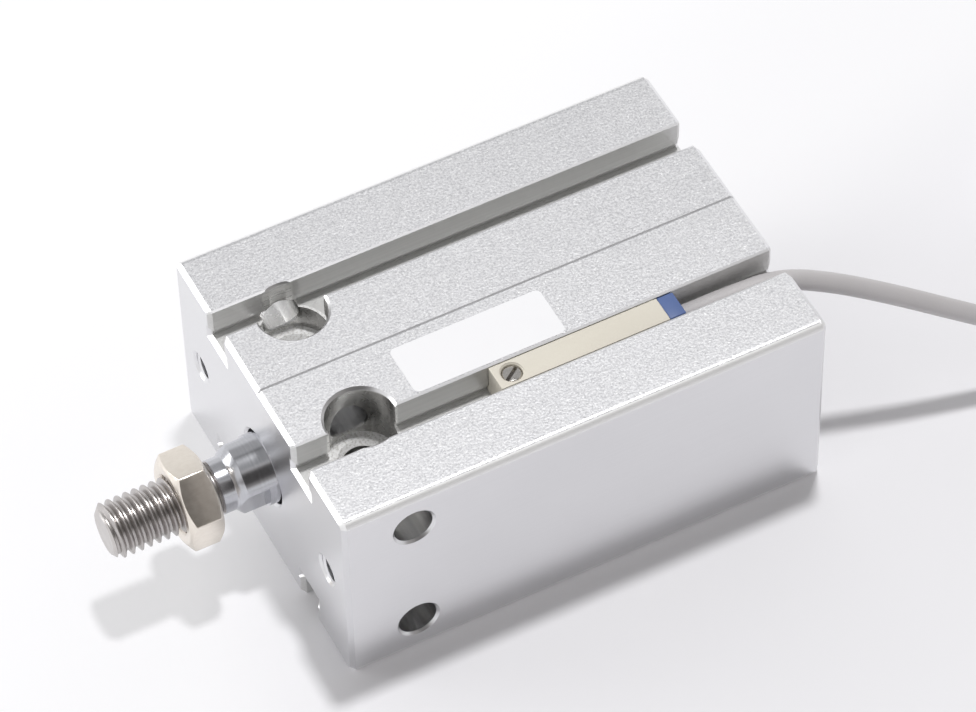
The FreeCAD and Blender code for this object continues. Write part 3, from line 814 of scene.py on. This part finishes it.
# %% Rod and nut finishes
rod_finish, tree, place = start_finish("hard_chrome_and_rolled_thread")
threaded = part_of(place, "X").between(0.0071, 0.0075)
tip_face = part_of(place, "X").between(0.0222, 0.0229)
rings = noise(tree, stretched(tree, place, 9000, 60, 60), 1)
stain = noise(tree, place, 700, 3)
chrome = rings.mix(seen(184, 185, 190), seen(206, 207, 212))
rolled = stain.mix(seen(172, 168, 166), seen(202, 198, 196))
bright = stain.mix(seen(230, 227, 224), seen(250, 247, 244))
shade(
    rod_finish, Base_Color=threaded.mix(chrome, (0.25 * tip_face).mix(rolled, bright)), Metallic=1.0,
    Roughness=0.16 + 0.05 * rings + threaded * (0.12 + 0.03 * stain),
    Normal=bump(tree, rings, 0.000002, 0.4),
)
paint(rod_finish, rod)

nut_finish, tree, place = start_finish("nickel_plate")
marks = noise(tree, stretched(tree, place, 900, 5200, 5200), 1)
pits = noise(tree, place, 1500, 3)
nickel = (0.35 * marks + 0.65 * pits).mix(seen(228, 219, 208), seen(250, 244, 235))
shade(
    nut_finish, Base_Color=nickel, Metallic=1.0, Roughness=0.26 + 0.10 * pits,
    Normal=bump(tree, 0.4 * marks + pits, 0.000006, 0.4),
)
paint(nut_finish, nut)
print("finishes:", rod_finish.name, nut_finish.name)


# %% [markdown]
# The other metals are turned, so they share one finish with fine rings, each in its own tones.

# %% Turned metals
def turned_finish(name, dark, light, roughness):
    """A metal that was turned about the rod's axis: fine rings round it and along it."""
    material, tree, place = start_finish(name)
    rings_per_metre = 5200
    across = reach(stretched(tree, place, 0, 1, 1))
    along = part_of(place, "X")
    spot = tree.node("CombineXYZ", None, {"X": along * rings_per_metre, "Y": across * rings_per_metre})
    rings = noise(tree, spot, 1, 1)
    soil = noise(tree, place, 240, 3)
    shade(
        material, Base_Color=(0.6 * rings + 0.4 * soil).mix(dark, light), Metallic=1.0,
        Roughness=roughness + 0.18 * (rings - 0.5) + 0.1 * soil, Normal=bump(tree, rings, 0.00001, 0.5),
    )
    return material


paint(turned_finish("turned_aluminium", seen(176, 176, 180), seen(226, 226, 229), 0.28),
      nodes["rear_cover"], nodes["piston_front"], nodes["piston_rear"])
paint(turned_finish("sintered_bronze", seen(122, 92, 58), seen(178, 142, 96), 0.38), nodes["rod_bush"])
paint(turned_finish("black_spring_steel", seen(46, 46, 49), seen(88, 88, 92), 0.36), nodes["retaining_ring"])
paint(turned_finish("zinc_plated_steel", seen(150, 150, 156), seen(205, 206, 212), 0.30),
      nodes["piston_nut"], *[piece for piece in cores if "tip" in piece.name])
paint(turned_finish("nickel_plated_screw", seen(168, 164, 160), seen(232, 229, 225), 0.10), screw)
print("finishes:", len(bpy.data.materials))


# %% [markdown]
# The mouldings are plain plastics: ivory for the switch, blue for its end, soft grey for the lead's jacket.
# Plastic is never one flat colour up close: its tone drifts a little, a fine speckle lies in it and its
# skin has an orange peel. Rubber, nylon, film and board are made the same way.

# %% Plastic, rubber and film finishes
def moulded_finish(name, dark, light, roughness, skin_scale=1800, skin_depth=0.000012):
    """A moulded skin: slow drift of tone, fine speckle and a shallow peel."""
    material, tree, place = start_finish(name)
    drift = noise(tree, place, 90, 3)
    speckle = noise(tree, place, 5200)
    skin = noise(tree, place, skin_scale)
    shade(
        material, Base_Color=(0.7 * drift + 0.3 * speckle).mix(dark, light),
        Roughness=roughness + 0.14 * (skin - 0.5) + 0.06 * drift,
        Normal=bump(tree, skin + 0.4 * speckle, skin_depth, 0.5),
    )
    return material


paint(moulded_finish("ivory_moulding", seen(216, 210, 196), seen(231, 226, 214), 0.42), housing)
paint(moulded_finish("blue_moulding", seen(74, 96, 148), seen(98, 120, 170), 0.40), band)
paint(moulded_finish("grey_lead_jacket", seen(188, 185, 186), seen(206, 203, 204), 0.46, 1200), lead)
paint(moulded_finish("white_nylon", seen(214, 212, 204), seen(236, 234, 228), 0.36), tie)
paint(moulded_finish("brown_insulation", seen(92, 58, 38), seen(124, 82, 54), 0.42),
      *[piece for piece in cores if piece.name == "core_brown"])
paint(moulded_finish("blue_insulation", seen(36, 78, 160), seen(62, 108, 190), 0.42),
      *[piece for piece in cores if piece.name == "core_blue"])
paint(moulded_finish("black_seal_rubber", seen(26, 26, 27), seen(48, 48, 49), 0.52, 900),
      nodes["rear_cover_oring"], nodes["rod_seal"], nodes["piston_seal"], nodes["piston_oring"])
paint(moulded_finish("bumper_rubber", seen(30, 38, 34), seen(54, 64, 58), 0.58, 700),
      nodes["front_bumper"], nodes["rear_bumper"])
paint(moulded_finish("bonded_magnet", seen(44, 42, 42), seen(72, 68, 66), 0.48, 2600), nodes["piston_magnet"])
paint(moulded_finish("filled_wear_plastic", seen(118, 92, 60), seen(156, 126, 88), 0.44), nodes["wear_ring"])
paint(moulded_finish("white_label_film", seen(246, 246, 249), seen(252, 252, 254), 0.34, 900, 0.000006),
      nodes["label"])
paint(moulded_finish("board_laminate", seen(24, 84, 52), seen(44, 118, 74), 0.38, 2200),
      nodes["switch_board"])
print("finishes:", len(bpy.data.materials))


# %% [markdown]
# The reed capsule is a thin glass tube with metal blades inside. It never shows, as it lies inside the
# switch, but it still gets a tinted glass with a darker middle where the blades overlap.

# %% Glass finish
capsule_middle = 0.0476
glass_finish, tree, place = start_finish("tinted_glass")
off_middle = abs(part_of(place, "X") + capsule_middle).between(0.0005, 0.003)
streak = noise(tree, place, 1500)
shade(
    glass_finish, Base_Color=off_middle.mix(seen(120, 138, 132), seen(190, 214, 206)),
    Roughness=0.06 + 0.06 * streak, Transmission_Weight=0.7,
)
paint(glass_finish, nodes["reed_switch"])
print("finish:", glass_finish.name)


# %% [markdown]
# The stage is a pale table. The photograph fades to white on the left and behind, so the table fades to
# plain white there too, but only for what looks at it or mirrors it: its soft light stays as it is.

# %% Table
table_level = -0.016
deselect()
bpy.ops.mesh.primitive_plane_add(size=6.0, location=(0, 0, table_level))
table = bpy.context.object
table.name = "table"
bpy.ops.object.transform_apply(location=True, rotation=True, scale=True)
table_finish, tree, place = start_finish("pale_table")
fibre = noise(tree, place, 35, 3)
left = reach_along(place, (0.89, -0.45, 0.0))
back = reach_along(place, (0.20, -0.98, 0.0))
near_white = left.math("MAXIMUM", left.between(-0.012, 0.012), back.between(-0.014, 0.012))
far_white = left.math("MAXIMUM", left.between(0.020, 0.060), back.between(0.020, 0.060))
looked_at = tree.node("LightPath", output="Is Camera Ray") + tree.node("LightPath", output="Is Glossy Ray")
veil = (0.48 * near_white + 0.36 * far_white) * looked_at
pale = fibre.mix((0.922, 0.917, 0.945), (0.934, 0.929, 0.957))
black, white = (0.0, 0.0, 0.0), (0.98, 0.98, 0.99)
shade(
    table_finish, Base_Color=veil.mix(pale, black), Roughness=0.6,
    Emission_Color=veil.mix(black, white), Emission_Strength=1.0,
)
paint(table_finish, table)
print("table at", table_level)


# %% [markdown]
# One soft lamp hangs almost overhead, tilted a little to the back left, as the short shadows on the real
# table show. A bright card stands low on the left and whitens the front chamfers.

# %% Lamps
def area_lamp(name, shape, energy, sizes, middle, way, distance):
    """A lamp that stands off from a point along a direction and shines back at it."""
    way = Vector(way).normalized()
    bpy.ops.object.light_add(type="AREA", location=middle + way * distance)
    lamp = bpy.context.object
    lamp.name = name
    lamp.data.shape = shape
    lamp.data.energy = energy
    lamp.data.size, lamp.data.size_y = sizes
    lamp.rotation_mode = "QUATERNION"
    lamp.rotation_quaternion = way.to_track_quat("Z", "Y")


deselect()
area_lamp("soft_lamp", "DISK", 7.1, (0.10, 0.10), target, (-1.8, -1.6, 16), 1.2)
area_lamp("low_left_card", "RECTANGLE", 0.22, (0.16, 0.12), Vector(), (0.76, -0.55, 0.34), 0.36)
print("lamps ready")


# %% [markdown]
# The world is the studio around, read from what the metal mirrors: dim on the camera's side, so that chrome
# and nickel have something dark to show, a grey wall behind, a dim ceiling round the lamp, and light walls
# all round else.

# %% World
world = bpy.data.worlds.new("studio")
bpy.context.scene.world = world
world.use_nodes = True
tree = Value(world.node_tree)
way = tree.node("TexCoord", output="Generated")
overhead = part_of(way, "Z")
level_way = tree.node("VectorMath", {"operation": "NORMALIZE"}, {0: stretched(tree, way, 1, 1, 0)})


def towards(degrees):
    """How much a direction's bearing agrees with one, in degrees from +X towards +Y: 1 is the same."""
    turn = math.radians(degrees)
    return reach_along(level_way, (math.cos(turn), math.sin(turn), 0.0))


dim_side = towards(112).between(-0.05, 0.20) * overhead.between(0.13, 0.26) * overhead.below(0.83, 0.92)
beside_camera = towards(68).between(0.75, 0.92) * overhead.between(0.30, 0.45) * overhead.below(0.78, 0.86)
grey_wall = towards(-90).between(-0.1, 0.4) * overhead.between(0.38, 0.58) * overhead.below(0.90, 0.97)
ceiling = overhead.between(0.86, 0.95)
level = 0.90 - 0.62 * dim_side - 0.20 * beside_camera - 0.40 * grey_wall - 0.50 * ceiling
background = world.node_tree.nodes["Background"]
tree.feed(background.inputs["Color"], dim_side.mix((1.0, 1.0, 1.0), (1.0, 0.95, 0.92)))
tree.feed(background.inputs["Strength"], level)
bpy.context.scene.view_settings.view_transform = "Standard"
print("world ready")
